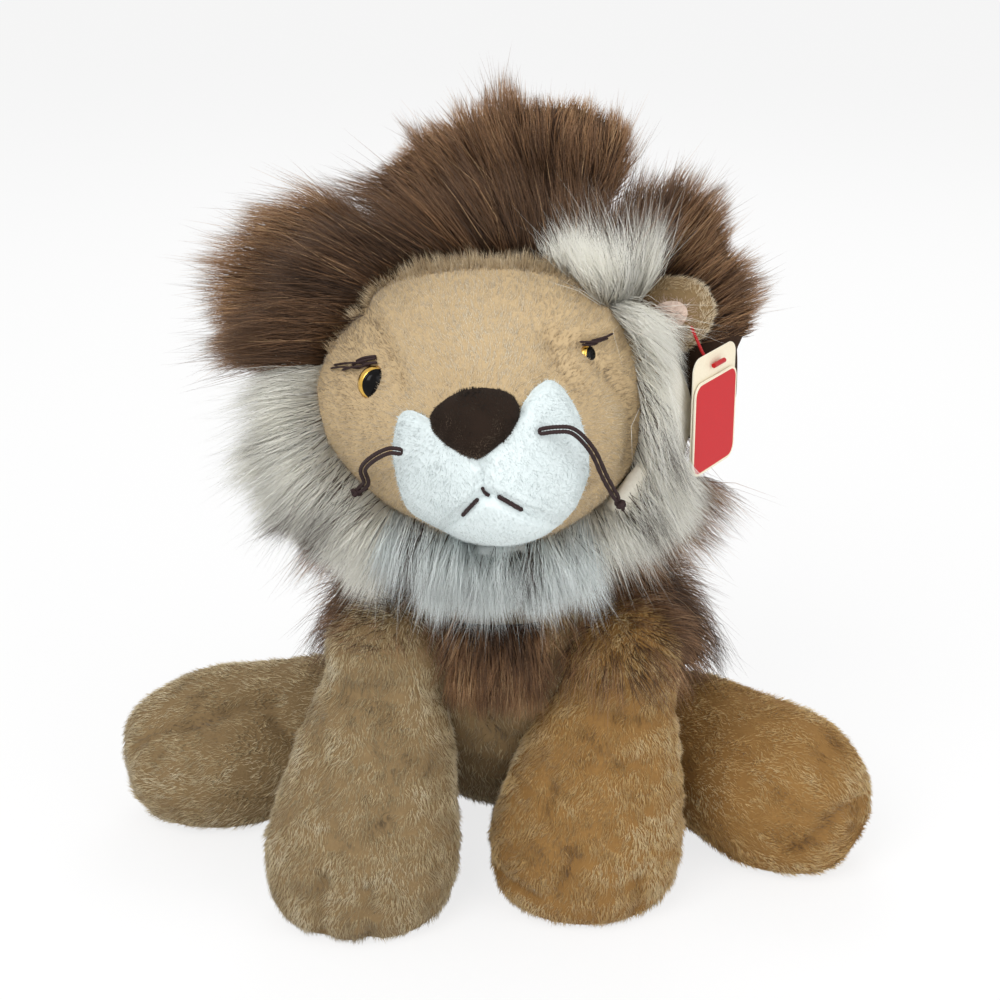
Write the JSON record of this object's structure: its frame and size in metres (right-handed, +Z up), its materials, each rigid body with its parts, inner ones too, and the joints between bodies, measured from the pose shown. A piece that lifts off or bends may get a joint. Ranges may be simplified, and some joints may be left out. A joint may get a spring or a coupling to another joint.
{
  "type": "plush lion",
  "caption": "Floppy sitting plush lion with golden plush body, long brown mane, cream ruff, flocked nose, thread whiskers and a plain swing tag.",
  "frame": {"origin": "middle of the footprint, on the surface the lion sits on", "axes": "+Z is up, -Y is the way the lion faces, +X is to the right of a viewer who faces it"},
  "size_m": [0.3022, 0.2616, 0.3068],
  "materials": {
    "golden_plush": "short golden tan plush pile, brushed",
    "brown_fur": "long dark brown faux fur with warm tips",
    "cream_fur": "long cream faux fur, combed down",
    "white_plush": "very short soft white pile",
    "ear_lining": "short pale pinkish pile",
    "dark_flock": "dark brown flock, matte and grainy",
    "dark_thread": "twisted embroidery thread",
    "fibre": "loose polyester fibre",
    "bag_cloth": "plain woven cloth round plastic pellets",
    "satin_ribbon": "plain satin ribbon, blank",
    "eye_plastic": "clear gloss over a gold iris and a black pupil",
    "washer_plastic": "white moulded plastic",
    "fastener_plastic": "red moulded plastic",
    "cream_card": "plain coated card, blank",
    "red_card": "plain glossy red card with a pale edge, blank"
  },
  "bodies": {
    "body": {"body_skin": "golden_plush", "body_stuffing": "fibre", "pellet_bag": "bag_cloth", "mane_back_coat": "brown_fur", "mane_chest": "brown_fur", "blank_label": "satin_ribbon"},
    "neck": {"neck_wad": "fibre"},
    "head": {"head_skin": "golden_plush", "head_stuffing": "fibre", "muzzle_left": "white_plush", "muzzle_right": "white_plush", "chin": "white_plush", "nose": "dark_flock", "eye_left": "eye_plastic", "eye_right": "eye_plastic", "eye_washer_left": "washer_plastic", "eye_washer_right": "washer_plastic", "brow_stitch_left": "dark_thread", "brow_stitch_right": "dark_thread", "mouth_stitch": "dark_thread", "whisker_left": "dark_thread", "whisker_right": "dark_thread", "whisker_knot_left": "dark_thread", "whisker_knot_right": "dark_thread", "ear_left": "golden_plush", "ear_right": "golden_plush", "ear_lining_left": "ear_lining", "ear_lining_right": "ear_lining", "mane_crown": "brown_fur", "mane_sweep_left": "brown_fur", "mane_low_left": "brown_fur", "mane_right": "brown_fur", "mane_low_right": "brown_fur", "mane_nape": "brown_fur", "ruff_left": "cream_fur", "ruff_bottom": "cream_fur", "ruff_right": "cream_fur", "ruff_tuft": "cream_fur", "tag_fastener": "fastener_plastic"},
    "front_leg_left": {"front_leg_left_skin": "golden_plush", "front_leg_left_filling": "fibre"},
    "front_leg_right": {"front_leg_right_skin": "golden_plush", "front_leg_right_filling": "fibre"},
    "hind_leg_left": {"hind_leg_left_skin": "golden_plush", "hind_leg_left_filling": "fibre", "hind_sole_left": "golden_plush"},
    "hind_leg_right": {"hind_leg_right_skin": "golden_plush", "hind_leg_right_filling": "fibre", "hind_sole_right": "golden_plush"},
    "tail": {"tail_skin": "golden_plush", "tail_tuft": "brown_fur"},
    "tag": {"tag_back": "cream_card"},
    "tag_cover": {"tag_cover": "red_card"}
  },
  "joints": [
    {"name": "neck_turn", "type": "hinge", "parent": "body", "child": "neck", "pos_m": [0.00197, -0.03954, 0.141], "axis": [0, 0, 1], "range_deg": [-20, 20]},
    {"name": "head_nod", "type": "hinge", "parent": "neck", "child": "head", "pos_m": [0.00197, -0.03954, 0.141], "axis": [1, 0, 0], "range_deg": [-6, 6]},
    {"name": "front_left_swing", "type": "hinge", "parent": "body", "child": "front_leg_left", "pos_m": [-0.03803, -0.05154, 0.099], "axis": [-1, 0, 0], "range_deg": [0, 45]},
    {"name": "front_right_swing", "type": "hinge", "parent": "body", "child": "front_leg_right", "pos_m": [0.04897, -0.04954, 0.096], "axis": [-1, 0, 0], "range_deg": [0, 45]},
    {"name": "hind_left_swing", "type": "hinge", "parent": "body", "child": "hind_leg_left", "pos_m": [-0.03003, 0.02846, 0.034], "axis": [0, 0, 1], "range_deg": [-18, 18]},
    {"name": "hind_right_swing", "type": "hinge", "parent": "body", "child": "hind_leg_right", "pos_m": [0.06397, 0.02046, 0.034], "axis": [0, 0, 1], "range_deg": [-9, 18]},
    {"name": "tail_swing", "type": "hinge", "parent": "body", "child": "tail", "pos_m": [0.02197, 0.06846, 0.0115], "axis": [0, 0, 1], "range_deg": [-20, 20]},
    {"name": "tag_swing", "type": "hinge", "parent": "head", "child": "tag", "pos_m": [0.07997, -0.06054, 0.219], "axis": [-0.8387, 0.5446, 0], "range_deg": [-15, 15]},
    {"name": "tag_open", "type": "hinge", "parent": "tag", "child": "tag_cover", "pos_m": [0.07126, -0.07396, 0.219], "axis": [0, 0, 1], "range_deg": [-100, 0]}
  ]
}
